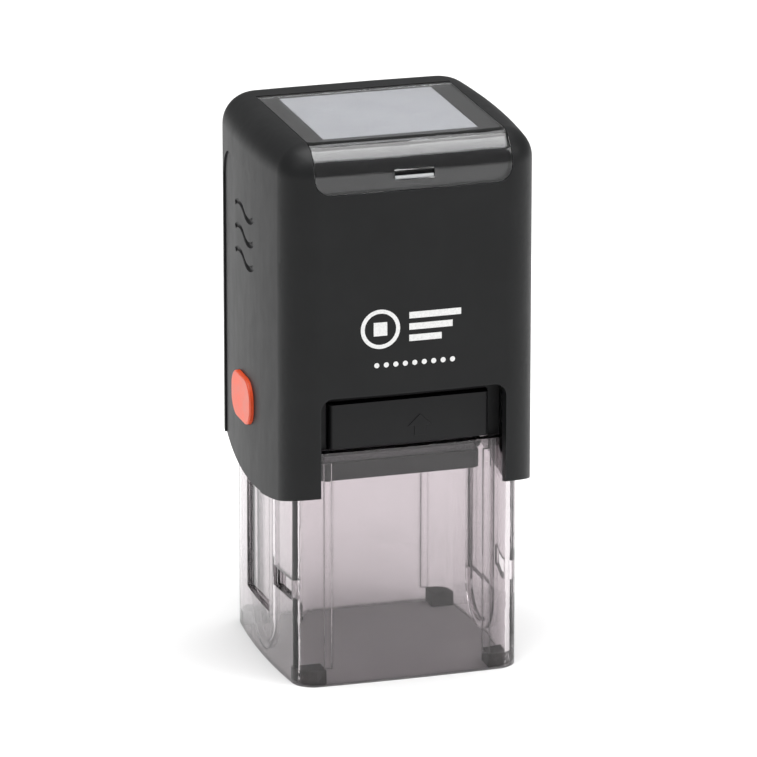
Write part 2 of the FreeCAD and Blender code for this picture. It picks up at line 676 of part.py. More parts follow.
def print_unit():
    half = "platen_width / 2"
    plate = rounded_slab("platen_plate", "XY_Plane", ("-" + half, half),
                         ("-platen_depth / 2", "platen_depth / 2"), "axle_height - platen_back",
                         "platen_back + platen_front", "platen_corner", 2)
    bore = rod("platen_bore", "axle_radius", "-platen_width", "0", "axle_height", "2 * platen_width",
               along_x=True)
    keep(cut("platen", plate, bore), "platen")
    top = "axle_height + platen_front"
    sheet_low = top + " + cushion_thickness"
    sheet_top = sheet_low + " + sheet_thickness"
    square = ("-die_size / 2", "die_size / 2")
    cushion_width = ("-die_size / 2 - seat_gap", "die_size / 2 + seat_gap")
    keep(box("die_cushion", cushion_width, square, (top, sheet_low)), "die_cushion")
    rubber = box("rubber_sheet", square, square, (sheet_low, sheet_top))
    border = ("-relief_size / 2", "relief_size / 2")
    field = ("relief_border - relief_size / 2", "relief_size / 2 - relief_border")
    face = box("relief_face", border, border, (sheet_top, sheet_top + " + relief_height"))
    sunk = box("relief_field", field, field, (sheet_top, sheet_top + " + relief_height + past"))
    pieces = [rubber, cut("relief_frame", face, sunk)]
    rows = 4
    for row in range(rows):
        y = "(relief_size - 2 * relief_margin) * (%d / %d - 1 / 2)" % (row, rows - 1)
        inset = "relief_inset + %d * relief_step" % (row % 2)
        pieces.append(box("relief_line", (inset + " - relief_size / 2", "relief_size / 2 - (%s)" % inset),
                          (y + " - relief_bar / 2", y + " + relief_bar / 2"),
                          (sheet_top + " - seat_gap", sheet_top + " + relief_height")))
    keep(fuse("rubber_die", pieces), "rubber_die")
    pin_end = "(%s + lug_gap + lug_thickness + pin_end)" % ARM_OUTER
    pin_start = "(platen_width / 2 - pin_grip)"
    pin = rod("axle_pin_right", "axle_radius", pin_start, "0", "axle_height",
              "%s - %s" % (pin_end, pin_start), along_x=True)
    keep(pin, "axle_pin_right")
    keep(mirrored("axle_pin_left", pin), "axle_pin_left")
    lug_start = "(%s + lug_gap)" % ARM_OUTER
    eye = rod("lug_eye", "axle_radius + lug_wall", lug_start, "0", "axle_height", "lug_thickness",
              along_x=True)
    tip = rod("lug_tip", "lug_radius", lug_start, "lug_reach", "axle_height", "lug_thickness", along_x=True)
    web = box("lug_web", (lug_start, lug_start + " + lug_thickness"), ("0", "lug_reach"),
              ("axle_height - lug_radius", "axle_height + lug_radius"))
    lug_bore = rod("lug_bore", "axle_radius", lug_start + " - past", "0", "axle_height",
                   "lug_thickness + 2 * past", along_x=True)
    lug = keep(cut("flip_lug_right", fuse("lug_body", [eye, tip, web]), lug_bore), "flip_lug_right")
    keep(mirrored("flip_lug_left", lug), "flip_lug_left")


def yoke():
    low = "axle_height - arm_end"
    top = "(%s - bridge_thickness)" % BRIDGE_TOP
    arm = rounded_slab("yoke_outline", "YZ_Plane", ("-arm_width / 2", "arm_width / 2"),
                       (low, top + " + past"), "0", "2 * %s" % ARM_OUTER, "arm_corner", 0)
    middle = box("yoke_middle", ("-" + ARM_INNER, ARM_INNER), ("-arm_width", "arm_width"),
                 ("0", top + " + 2 * past"))
    arms = cut("yoke_arms", arm, middle)
    bridge = rounded_slab("yoke_bridge", "XY_Plane", ("-" + ARM_OUTER, ARM_OUTER),
                          ("-bridge_depth / 2", "bridge_depth / 2"), top, "bridge_thickness",
                          "bridge_corner", 2)
    spans_x = (("-" + ARM_OUTER, "-" + ARM_INNER), (ARM_INNER, ARM_OUTER))
    stems = [box("arm_stem", x, ("-arm_width / 2", "arm_width / 2"),
                 (top + " - stem_length", top + " + sink")) for x in spans_x]
    solid = fuse("yoke_solid", [arms, bridge] + stems)
    axle_bore = rod("arm_bore", "axle_radius + running_gap", "-" + ARM_OUTER + " - past", "0", "axle_height",
                    "2 * %s + 2 * past" % ARM_OUTER, along_x=True)
    through = (top + " - past", "bridge_thickness + 2 * past")
    spring_hole = rod("spring_hole", "bridge_hole", "0", "0", *through)
    holes = [axle_bore, spring_hole]
    for side in (-1, 1):
        holes.append(rod("peg_hole", "peg_radius + running_gap", "%d * boss_spread" % side, "0", *through))
    keep(cut("yoke", solid, fuse("yoke_holes", holes)), "yoke")


def return_spring():
    helix = doc.addObject("Part::Helix", "spring_line")
    helix.SegmentLength = 1
    length = "(%s - %s - 2 * wire_radius)" % (ROOF_INNER, DECK_TOP)
    bind(helix, Radius="spring_radius", Height=length, Pitch="%s / spring_turns" % length)
    wire = doc.addObject("Part::Circle", "spring_wire")
    wire.Placement = FreeCAD.Placement(FreeCAD.Vector(), FreeCAD.Rotation(FreeCAD.Vector(1, 0, 0), 90))
    bind(wire, Radius="wire_radius")
    place(wire, "spring_radius")
    coil = doc.addObject("Part::Sweep", "return_spring")
    coil.Sections = [wire]
    coil.Spine = (helix, [])
    coil.Solid = True
    coil.Frenet = True
    place(coil, z=DECK_TOP + " + wire_radius")
    keep(coil, "return_spring")


outer_case()
lock_buttons()
index_parts()
base_skirt()
base_feet()
pad_frame()
ink_pad()
print_unit()
yoke()
return_spring()
doc.recompute()

failed = [item.Name for item in doc.Objects if "Invalid" in item.State or "Error" in item.State]
if failed:
    raise RuntimeError("these objects did not compute: %s" % failed)
for node, item in parts.items():
    if item.Shape.isNull() or not item.Shape.isValid() or not item.Shape.Solids:
        raise RuntimeError("%s has no valid solid" % node)
os.makedirs("parts", exist_ok=True)
for node, item in parts.items():
    item.Shape.exportStep("parts/%s.step" % node)
    print(node, len(item.Shape.Solids), round(item.Shape.Volume, 2))
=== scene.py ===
"""Looks of the self-inking stamp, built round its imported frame."""
import math

import bmesh
import bpy
from bpy.props import FloatProperty, FloatVectorProperty, IntProperty, PointerProperty
from mathutils import Matrix, Vector


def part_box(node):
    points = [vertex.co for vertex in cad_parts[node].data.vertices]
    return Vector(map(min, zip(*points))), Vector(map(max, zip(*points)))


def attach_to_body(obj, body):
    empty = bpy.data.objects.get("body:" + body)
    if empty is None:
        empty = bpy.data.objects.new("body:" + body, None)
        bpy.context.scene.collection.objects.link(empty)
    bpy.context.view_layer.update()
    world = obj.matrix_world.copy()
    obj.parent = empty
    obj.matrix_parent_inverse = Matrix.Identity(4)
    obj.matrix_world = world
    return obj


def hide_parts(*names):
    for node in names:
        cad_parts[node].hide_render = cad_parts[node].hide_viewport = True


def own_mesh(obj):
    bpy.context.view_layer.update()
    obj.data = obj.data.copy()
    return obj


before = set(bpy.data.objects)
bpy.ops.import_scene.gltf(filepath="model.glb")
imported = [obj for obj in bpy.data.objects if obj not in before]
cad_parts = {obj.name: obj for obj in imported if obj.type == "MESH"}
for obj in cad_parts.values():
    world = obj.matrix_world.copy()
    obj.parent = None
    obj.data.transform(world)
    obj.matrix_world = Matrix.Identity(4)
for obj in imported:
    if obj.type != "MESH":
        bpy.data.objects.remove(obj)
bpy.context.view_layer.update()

bl_info = {
    "name": "Self-Inking Stamp",
    "version": (1, 0, 0),
    "blender": (4, 5, 0),
    "location": "View3D > Sidebar > Stamp",
    "description": "Builds the looks of a self-inking hand stamp round its packed frame",
    "category": "Object",
}

MM = 0.001

# Moulded copies of the CAD: welding, and the angles that tell faces from edges
WELD = 0.002 * MM
FLAT_ANGLE = math.radians(0.4)
CORNER_ANGLE = math.radians(32)
FLAT_WEIGHT = 80
CARD_ROUND = 0.03 * MM

# Roundings of these pieces, as multiples of the common or the fine edge rounding
BUTTON_ROUNDING, PLATEN_ROUNDING, PIN_ROUNDING = 1.6, 1.5, 1.5

# Sides of grown rounds
COIL_STEPS, WIRE_SIDES, ROUND_SIDES = 48, 12, 24

# Soft blocks
PAD_CUTS = 28
PAD_BULGE = 0.12 * MM
PAD_CORNER_ANGLE = math.radians(50)

# Front mark, drawn in millimetres from the middle of the front (x) and the table (z)
EMBLEM_X, EMBLEM_Z = -5.6, 59.3
RING_OUTER, RING_INNER, RING_STEPS = 3.2, 2.55, 48
SQUARE_HALF = 1.1
BAR_START, BAR_ENDS = -0.9, (7.6, 6.2, 4.4)
BAR_TOP, BAR_PITCH, BAR_HEIGHT, BAR_STRIPS = 61.7, 1.85, 1.05, 12
PRINT_THICKNESS = 0.03 * MM
PRINT_LIFT, DOT_LIFT = 0.005 * MM, 0.02 * MM
DOT_RADIUS, DOT_PITCH = 0.42 * MM, 1.55 * MM
DOT_START = (-6.2 * MM, 0, 53.4 * MM)

# Grey bar in the pry slot, a painted highlight for light caught on the slot's lower edge; placed
# from the lowest front edge of the window
HIGHLIGHT_BAR_LENGTH, HIGHLIGHT_BAR_RADIUS = 6.2 * MM, 0.3 * MM
HIGHLIGHT_BAR_INSET, HIGHLIGHT_BAR_RISE = 0.45 * MM, 1.95 * MM

# Arrow on the tray's front; its outline is in millimetres round its own middle
ARROW_OUTLINE = ((-0.9, -1.6), (0.9, -1.6), (0.9, 0.1), (2.0, 0.1),
                 (0, 2.0), (-2.0, 0.1), (-0.9, 0.1))
ARROW_X, ARROW_HEIGHT_SHARE = 1.7 * MM, 0.36
ARROW_SINK, ARROW_THICKNESS, ARROW_ROUND = 0.1 * MM, 0.22 * MM, 0.08 * MM

# Stage: light places in metres, then side in metres and power in watts
FLOOR_HALF = 3.0
AIR_STRENGTH = 0.28
LIGHTS = (("key_light", (-0.9, -0.35, 0.75), 0.5, 1.2),
          ("fill_light", (0.8, -0.6, 0.6), 0.5, 3.0),
          ("top_light", (0.0, -0.1, 1.25), 1.3, 27.0))

# Camera fitted to the photo; angles are round and above TARGET
TARGET = Vector((0, 0, 44 * MM))
AZIMUTH, ELEVATION = math.radians(-16.9), math.radians(17.6)
CAMERA_DISTANCE = 1.1433
LENS, SENSOR_WIDTH = 340.9, 36.0
SHIFT_X, SHIFT_Y = 0.0034, 0.0032
CLIP_START = 0.05


# ---------------------------------------------------------------- settings

class StampSizes(bpy.types.PropertyGroup):
    edge_round: FloatProperty(
        name="Edge rounding", description="Width of the small rounding on moulded edges",
        default=0.16 * MM, min=0.0, unit="LENGTH")
    fine_edge_round: FloatProperty(
        name="Fine edge rounding",
        description="Width of the rounding on small clear and metal pieces",
        default=0.09 * MM, min=0.0, unit="LENGTH")
    spring_turns: FloatProperty(
        name="Spring turns", description="Turns of the return spring", default=6.5, min=2.0)
    wire_radius: FloatProperty(
        name="Wire radius", description="Radius of the spring's wire",
        default=0.4 * MM, unit="LENGTH")
    felt_crown: FloatProperty(
        name="Felt crown", description="How far the felt swells below its edges",
        default=0.28 * MM, unit="LENGTH")
    case_width: FloatProperty(
        name="Case width", description="Width of the case across its bowed sides",
        default=43.2 * MM, unit="LENGTH")
    front_bow: FloatProperty(
        name="Front bow", description="How far the front of the case bows out",
        default=0.6 * MM, unit="LENGTH")
    mark_dots: IntProperty(
        name="Mark dots", description="Dots in the row under the front mark", default=9, min=1)


class StampColours(bpy.types.PropertyGroup):
    case: FloatVectorProperty(
        name="Case", description="Satin black of the case", subtype="COLOR",
        default=(0.0090, 0.0093, 0.0097), min=0.0, max=1.0)
    inner: FloatVectorProperty(
        name="Inner parts", description="Black of the tray, frame and platen", subtype="COLOR",
        default=(0.0095, 0.0096, 0.0102), min=0.0, max=1.0)
    smoke: FloatVectorProperty(
        name="Base", description="Smoky tint of the clear base", subtype="COLOR",
        default=(0.68, 0.638, 0.655), min=0.0, max=1.0)
    button: FloatVectorProperty(
        name="Buttons", description="Orange red of the lock buttons", subtype="COLOR",
        default=(0.84, 0.095, 0.028), min=0.0, max=1.0)
    card: FloatVectorProperty(
        name="Card", description="Grey of the index card", subtype="COLOR",
        default=(0.66, 0.675, 0.70), min=0.0, max=1.0)
    window: FloatVectorProperty(
        name="Window", description="Tint of the clear index window", subtype="COLOR",
        default=(0.90, 0.90, 0.91), min=0.0, max=1.0)
    rubber: FloatVectorProperty(
        name="Rubber", description="Dark grey of the print face", subtype="COLOR",
        default=(0.028, 0.027, 0.03), min=0.0, max=1.0)


# ---------------------------------------------------------------- materials

class Nodes:
    """A new material and short ways to add nodes to it."""

    def __init__(self, name):
        self.material = bpy.data.materials.new(name)
        self.material.use_nodes = True
        self.tree = self.material.node_tree
        self.shader = self.tree.nodes["Principled BSDF"]
        self.places = self.add("ShaderNodeTexCoord").outputs["Object"]

    def add(self, kind, **settings):
        node = self.tree.nodes.new(kind)
        for name, value in settings.items():
            setattr(node, name, value)
        return node

    def link(self, source, target):
        self.tree.links.new(source, target)

    def noise(self, period, detail=3.0, roughness=0.55, stretch=(1, 1, 1)):
        """Noise whose features are about period metres wide."""
        mapping = self.add("ShaderNodeMapping")
        mapping.inputs["Scale"].default_value = [s / period for s in stretch]
        self.link(self.places, mapping.inputs["Vector"])
        noise = self.add("ShaderNodeTexNoise")
        noise.inputs["Scale"].default_value = 1.0
        noise.inputs["Detail"].default_value = detail
        noise.inputs["Roughness"].default_value = roughness
        self.link(mapping.outputs["Vector"], noise.inputs["Vector"])
        return noise.outputs["Fac"]

    def grains(self, period, feature="F1"):
        """Cells about period metres wide."""
        cells = self.add("ShaderNodeTexVoronoi", feature=feature)
        cells.inputs["Scale"].default_value = 1 / period
        self.link(self.places, cells.inputs["Vector"])
        return cells.outputs["Distance"]

    def span(self, value, low, high, start=0.0, end=1.0):
        """value, from start..end, laid out over low..high."""
        remap = self.add("ShaderNodeMapRange")
        remap.inputs["From Min"].default_value = start
        remap.inputs["From Max"].default_value = end
        remap.inputs["To Min"].default_value = low
        remap.inputs["To Max"].default_value = high
        self.link(value, remap.inputs["Value"])
        return remap.outputs["Result"]

    def colours(self, value, first, second):
        mix = self.add("ShaderNodeMix", data_type="RGBA")
        mix.inputs["A"].default_value = (*first, 1)
        mix.inputs["B"].default_value = (*second, 1)
        self.link(value, mix.inputs["Factor"])
        return mix.outputs["Result"]

    def tones(self, value, low, high, first, second):
        """The colour first where value is low, and second where it is high."""
        return self.colours(self.span(value, 0.0, 1.0, low, high), first, second)

    def mottled(self, value, colour, dark, light):
        """colour, made darker and lighter by value."""
        return self.tones(value, 0.3, 0.7, shade(colour, dark), shade(colour, light))

    def blend(self, value, first, second):
        """Blend the colour output first into the plain colour second."""
        mix = self.add("ShaderNodeMix", data_type="RGBA")
        self.link(first, mix.inputs["A"])
        mix.inputs["B"].default_value = (*second, 1)
        self.link(value, mix.inputs["Factor"])
        return mix.outputs["Result"]

    def edge_mask(self, width):
        """1 on sharp outer and inner edges and 0 on open faces."""
        bevel = self.add("ShaderNodeBevel", samples=4)
        bevel.inputs["Radius"].default_value = width
        geometry = self.add("ShaderNodeNewGeometry")
        dot = self.add("ShaderNodeVectorMath", operation="DOT_PRODUCT")
        self.link(bevel.outputs["Normal"], dot.inputs[0])
        self.link(geometry.outputs["Normal"], dot.inputs[1])
        return self.span(dot.outputs["Value"], 1.0, 0.0, 0.93, 0.995)

    def bump(self, height, distance, strength=1.0, under=None):
        node = self.add("ShaderNodeBump")
        node.inputs["Strength"].default_value = strength
        node.inputs["Distance"].default_value = distance
        self.link(height, node.inputs["Height"])
        if under is not None:
            self.link(under, node.inputs["Normal"])
        return node.outputs["Normal"]

    def finish(self, colour, roughness, normal=None, **constants):
        self.link(colour, self.shader.inputs["Base Color"])
        self.link(roughness, self.shader.inputs["Roughness"])
        if normal is not None:
            self.link(normal, self.shader.inputs["Normal"])
        for name, value in constants.items():
            self.shader.inputs[name.replace("_", " ")].default_value = value
        return self.material


def shade(colour, factor):
    return tuple(min(1.0, channel * factor) for channel in colour)


def satin_black(name, colour, wear, grain_depth):
    """Moulded black plastic: fine spark-eroded grain, faint handling marks, paler edges."""
    n = Nodes(name)
    grain = n.noise(0.22 * MM, detail=4.0, roughness=0.6)
    cloud = n.noise(9 * MM, detail=5.0)
    scuff = n.noise(2.2 * MM, detail=6.0, roughness=0.7, stretch=(1, 1, 0.35))
    tone = n.mottled(cloud, colour, 0.88, 1.14)
    edges = n.edge_mask(0.3 * MM)
    broken = n.add("ShaderNodeMath", operation="MULTIPLY")
    n.link(edges, broken.inputs[0])
    n.link(n.span(scuff, 0.15, wear, 0.35, 0.7), broken.inputs[1])
    tone = n.blend(broken.outputs["Value"], tone, shade(colour, 3.2))
    roughness = n.span(scuff, 0.40, 0.48, 0.25, 0.75)
    normal = n.bump(grain, 0.02 * MM, strength=grain_depth)
    return n.finish(tone, roughness, normal, Specular_IOR_Level=0.2)


def smoky_clear(name, colour, roughness, wave, edge, gloss):
    """Clear moulded plastic: its tint times edge at its edges as painted edge light (painted shade
    below 1, painted highlight above 1), faint flow waves and haze.
    """
    n = Nodes(name)
    flow = n.noise(7 * MM, detail=2.0, stretch=(1, 1, 0.4))
    haze = n.noise(1.6 * MM, detail=5.0, roughness=0.65)
    tint = n.mottled(flow, colour, 0.965, 1.0)
    # Painted light at the edges: the tint times edge, darker as painted shade on the base and
    # paler as a painted highlight on the window
    tint = n.blend(n.span(n.edge_mask(0.8 * MM), 0.0, 0.85), tint, shade(colour, edge))
    rough = n.span(haze, roughness * 0.6, roughness * 1.7, 0.3, 0.75)
    normal = n.bump(flow, wave, strength=0.35)
    return n.finish(tint, rough, normal, Transmission_Weight=1.0, IOR=1.46,
                    Specular_IOR_Level=gloss)


# Painted highlight: pale grey that stands for light caught on the pry slot's lower edge
def painted_slot_highlight():
    n = Nodes("slot_highlight_paint")
    haze = n.noise(0.4 * MM, detail=4.0)
    tone = n.colours(haze, (0.42, 0.43, 0.44), (0.52, 0.53, 0.54))
    return n.finish(tone, n.span(haze, 0.2, 0.35))


def button_plastic(colour):
    n = Nodes("button_orange")
    cloud = n.noise(3 * MM, detail=4.0)
    grain = n.noise(0.25 * MM, detail=3.0)
    tone = n.mottled(cloud, colour, 0.9, 1.1)
    # Painted shade: the orange darkened towards a quarter of its brightness on its outer and inner
    # edges
    tone = n.blend(n.span(n.edge_mask(0.35 * MM), 0.0, 0.55), tone, shade(colour, 0.25))
    return n.finish(tone, n.span(cloud, 0.3, 0.42, 0.3, 0.7), n.bump(grain, 0.012 * MM, 0.5),
                    Subsurface_Weight=0.08, Subsurface_Scale=0.4 * MM)


def card_stock(colour):
    n = Nodes("card_stock")
    fibre = n.noise(0.35 * MM, detail=5.0, roughness=0.7, stretch=(1, 0.3, 1))
    cloud = n.noise(6 * MM, detail=3.0)
    tone = n.mottled(cloud, colour, 0.96, 1.03)
    tone = n.blend(n.span(fibre, 0.0, 0.35, 0.55, 0.8), tone, shade(colour, 1.12))
    return n.finish(tone, n.span(fibre, 0.62, 0.78), n.bump(fibre, 0.01 * MM, 0.6))


def inked_felt():
    n = Nodes("inked_felt")
    fuzz = n.noise(0.18 * MM, detail=6.0, roughness=0.75)
    tufts = n.grains(0.5 * MM)
    wet = n.noise(5 * MM, detail=4.0)
    tone = n.tones(fuzz, 0.35, 0.7, (0.006, 0.006, 0.012), (0.03, 0.032, 0.055))
    normal = n.bump(tufts, 0.06 * MM, 0.7, under=n.bump(fuzz, 0.05 * MM, 0.8))
    return n.finish(tone, n.span(wet, 0.38, 0.8, 0.35, 0.65), normal, Sheen_Weight=0.25)


def cell_foam():
    n = Nodes("cell_foam")
    cells = n.grains(0.16 * MM)
    tone = n.tones(cells, 0.0, 0.7, (0.10, 0.10, 0.105), (0.33, 0.33, 0.34))
    return n.finish(tone, n.span(cells, 0.8, 0.95), n.bump(cells, 0.05 * MM, 0.8))


def print_rubber(colour):
    n = Nodes("print_rubber")
    bloom = n.noise(1.8 * MM, detail=5.0)
    grain = n.noise(0.12 * MM, detail=3.0)
    height = n.add("ShaderNodeSeparateXYZ")
    n.link(n.places, height.inputs["Vector"])
    face = frame_box("rubber_die")[1].z
    inked = n.span(height.outputs["Z"], 0.0, 1.0, face - 0.35 * MM, face - 0.1 * MM)
    tone = n.mottled(bloom, colour, 0.8, 1.15)
    tone = n.blend(inked, tone, (0.008, 0.008, 0.016))
    return n.finish(tone, n.span(bloom, 0.45, 0.7), n.bump(grain, 0.01 * MM, 0.6))


def foot_rubber():
    n = Nodes("foot_rubber")
    dust = n.noise(1.2 * MM, detail=5.0, roughness=0.7)
    grain = n.noise(0.15 * MM, detail=3.0)
    tone = n.tones(dust, 0.4, 0.75, (0.028, 0.024, 0.023), (0.075, 0.064, 0.06))
    return n.finish(tone, n.span(dust, 0.65, 0.9), n.bump(grain, 0.02 * MM, 0.7))


def drawn_steel(name, along):
    """Bright drawn steel with faint lines along the wire or pin."""
    n = Nodes(name)
    lines = n.noise(0.2 * MM, detail=3.0, stretch=along)
    stain = n.noise(2.5 * MM, detail=4.0)
    tone = n.tones(stain, 0.35, 0.75, (0.62, 0.62, 0.63), (0.42, 0.41, 0.40))
    normal = n.bump(lines, 0.004 * MM, 0.5)
    return n.finish(tone, n.span(lines, 0.18, 0.34), normal, Metallic=1.0)


def white_print():
    n = Nodes("white_print")
    worn = n.noise(0.3 * MM, detail=4.0, roughness=0.7)
    tone = n.tones(worn, 0.4, 0.75, (0.80, 0.80, 0.79), (0.62, 0.62, 0.62))
    return n.finish(tone, n.span(worn, 0.45, 0.65))


def studio_paper():
    n = Nodes("studio_paper")
    cloud = n.noise(0.2, detail=2.0)
    tone = n.colours(cloud, (0.86, 0.86, 0.86), (0.88, 0.88, 0.88))
    return n.finish(tone, n.span(cloud, 0.75, 0.85))


MATERIALS = {}


# ---------------------------------------------------------------- geometry helpers

def frame_box(node):
    low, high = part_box(node)
    return Vector(low), Vector(high)


def new_piece(name, mesh, material):
    piece = bpy.data.objects.new(name, mesh)
    bpy.context.scene.collection.objects.link(piece)
    mesh.materials.clear()
    mesh.materials.append(material)
    return piece


def paint(node, material):
    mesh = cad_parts[node].data
    mesh.materials.clear()
    mesh.materials.append(material)


def moulded_copy(node, name, material, rounding, steps=2):
    """A welded copy of a CAD node with softly rounded edges."""
    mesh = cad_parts[node].data.copy()
    mesh.name = name
    work = bmesh.new()
    work.from_mesh(mesh)
    bmesh.ops.remove_doubles(work, verts=work.verts, dist=WELD)
    bmesh.ops.dissolve_degenerate(work, edges=work.edges, dist=WELD)
    bmesh.ops.dissolve_limit(work, angle_limit=FLAT_ANGLE, verts=work.verts, edges=work.edges)
    work.to_mesh(mesh)
    work.free()
    mesh.shade_smooth()
    mesh.set_sharp_from_angle(angle=CORNER_ANGLE)
    piece = new_piece(name, mesh, material)
    bevel = piece.modifiers.new("edge_rounding", "BEVEL")
    bevel.width = rounding
    bevel.segments = steps
    bevel.limit_method = "ANGLE"
    bevel.angle_limit = CORNER_ANGLE
    bevel.miter_outer = "MITER_ARC"
    flat = piece.modifiers.new("flat_faces", "WEIGHTED_NORMAL")
    flat.keep_sharp = True
    flat.weight = FLAT_WEIGHT
    return piece


def attach(piece, body, slot, *replaced):
    """Hang a piece on its body, in place of the CAD nodes named after them; slot is not used."""
    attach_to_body(piece, body)
    if replaced:
        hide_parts(*replaced)


def group_input(tree, name, kind, value):
    socket = tree.interface.new_socket(name, in_out="INPUT", socket_type=kind)
    socket.default_value = value


def grown_mesh(name, tree, values):
    """The plain mesh that a Geometry Nodes tree makes from the named values."""
    holder = bpy.data.objects.new(name + "_growth", bpy.data.meshes.new(name + "_seed"))
    bpy.context.scene.collection.objects.link(holder)
    modifier = holder.modifiers.new("growth", "NODES")
    modifier.node_group = tree
    for item in tree.interface.items_tree:
        if item.in_out == "INPUT" and item.name in values:
            modifier[item.identifier] = values[item.name]
    graph = bpy.context.evaluated_depsgraph_get()
    mesh = bpy.data.meshes.new_from_object(holder.evaluated_get(graph))
    mesh.name = name
    bpy.data.objects.remove(holder)
    return mesh


def new_tree(name):
    tree = bpy.data.node_groups.new(name, "GeometryNodeTree")
    tree.interface.new_socket("Geometry", in_out="OUTPUT", socket_type="NodeSocketGeometry")
    return tree, tree.nodes.new("NodeGroupInput"), tree.nodes.new("NodeGroupOutput")


def end_tree(tree, output, geometry, material):
    realize = tree.nodes.new("GeometryNodeRealizeInstances")
    tint = tree.nodes.new("GeometryNodeSetMaterial")
    tint.inputs["Material"].default_value = material
    tree.links.new(geometry, realize.inputs[0])
    tree.links.new(realize.outputs[0], tint.inputs[0])
    tree.links.new(tint.outputs[0], output.inputs[0])


def coil_tree(material):
    """A round wire wound into an even coil with capped ends."""
    tree, given, output = new_tree("spring_coil")
    for name in ("Coil Radius", "Wire Radius", "Height", "Turns"):
        group_input(tree, name, "NodeSocketFloat", 1.0)
    nodes, links = tree.nodes, tree.links
    spiral = nodes.new("GeometryNodeCurveSpiral")
    spiral.inputs["Resolution"].default_value = COIL_STEPS
    links.new(given.outputs["Turns"], spiral.inputs["Rotations"])
    for end in ("Start Radius", "End Radius"):
        links.new(given.outputs["Coil Radius"], spiral.inputs[end])
    links.new(given.outputs["Height"], spiral.inputs["Height"])
    profile = nodes.new("GeometryNodeCurvePrimitiveCircle")
    profile.inputs["Resolution"].default_value = WIRE_SIDES
    links.new(given.outputs["Wire Radius"], profile.inputs["Radius"])
    tube = nodes.new("GeometryNodeCurveToMesh")
    tube.inputs["Fill Caps"].default_value = True
    links.new(spiral.outputs["Curve"], tube.inputs["Curve"])
    links.new(profile.outputs["Curve"], tube.inputs["Profile Curve"])
    smooth = nodes.new("GeometryNodeSetShadeSmooth")
    links.new(tube.outputs["Mesh"], smooth.inputs[0])
    end_tree(tree, output, smooth.outputs[0], material)
    return tree


def round_bar_tree(material):
    """A round bar along X about its middle."""
    tree, given, output = new_tree("round_bar")
    for name in ("Length", "Bar Radius"):
        group_input(tree, name, "NodeSocketFloat", 1.0)
    group_input(tree, "Middle", "NodeSocketVector", (0, 0, 0))
    nodes, links = tree.nodes, tree.links
    bar = nodes.new("GeometryNodeMeshCylinder")
    bar.inputs["Vertices"].default_value = ROUND_SIDES
    links.new(given.outputs["Bar Radius"], bar.inputs["Radius"])
    links.new(given.outputs["Length"], bar.inputs["Depth"])
    laid = nodes.new("GeometryNodeTransform")
    laid.inputs["Rotation"].default_value = (0, math.pi / 2, 0)
    links.new(bar.outputs["Mesh"], laid.inputs["Geometry"])
    links.new(given.outputs["Middle"], laid.inputs["Translation"])
    end_tree(tree, output, laid.outputs["Geometry"], material)
    return tree


def dot_row_tree(material):
    """A row of thin round dots that face the front."""
    tree, given, output = new_tree("dot_row")
    for name in ("Dot Radius", "Thickness", "Pitch"):
        group_input(tree, name, "NodeSocketFloat", 1.0)
    group_input(tree, "Count", "NodeSocketInt", 5)
    group_input(tree, "Start", "NodeSocketVector", (0, 0, 0))
    nodes, links = tree.nodes, tree.links
    step = nodes.new("ShaderNodeCombineXYZ")
    links.new(given.outputs["Pitch"], step.inputs["X"])
    row = nodes.new("GeometryNodeMeshLine")
    links.new(given.outputs["Count"], row.inputs["Count"])
    links.new(given.outputs["Start"], row.inputs["Start Location"])
    links.new(step.outputs["Vector"], row.inputs["Offset"])
    disc = nodes.new("GeometryNodeMeshCylinder")
    disc.inputs["Vertices"].default_value = ROUND_SIDES
    links.new(given.outputs["Dot Radius"], disc.inputs["Radius"])
    links.new(given.outputs["Thickness"], disc.inputs["Depth"])
    spread = nodes.new("GeometryNodeInstanceOnPoints")
    spread.inputs["Rotation"].default_value = (math.pi / 2, 0, 0)
    links.new(row.outputs["Mesh"], spread.inputs["Points"])
    links.new(disc.outputs["Mesh"], spread.inputs["Instance"])
    end_tree(tree, output, spread.outputs["Instances"], material)
    return tree


def crowned_pad(name, low, high, crown, side_bulge, material, face_down):
    """A closed soft block: its working face swells and its sides bulge a little."""
    work = bmesh.new()
    bmesh.ops.create_cube(work, size=1.0)
    bmesh.ops.subdivide_edges(work, edges=work.edges, cuts=PAD_CUTS, use_grid_fill=True)
    size = high - low
    middle = (low + high) / 2
    half_x, half_y = (span / 2 - side_bulge for span in size.xy)
    for vertex in work.verts:
        u, v, w = (2 * part for part in vertex.co)
        tall = 1 - w * w
        swell = (1 - u ** 4) * (1 - v ** 4)
        x = middle.x + u * (half_x + side_bulge * tall)
        y = middle.y + v * (half_y + side_bulge * tall)
        working = -w if face_down else w
        drop = crown * (1 - swell) * max(0.0, working)
        z = middle.z + w * size.z / 2 + (drop if face_down else -drop)
        vertex.co = (x, y, z)
    mesh = bpy.data.meshes.new(name)
    work.to_mesh(mesh)
    work.free()
    mesh.shade_smooth()
    mesh.set_sharp_from_angle(angle=PAD_CORNER_ANGLE)
    return new_piece(name, mesh, material)


# ---------------------------------------------------------------- operators

class StampOperator:
    bl_options = {"REGISTER", "UNDO"}

    @property
    def sizes(self):
        return bpy.context.scene.stamp_sizes

    @property
    def colours(self):
        return bpy.context.scene.stamp_colours


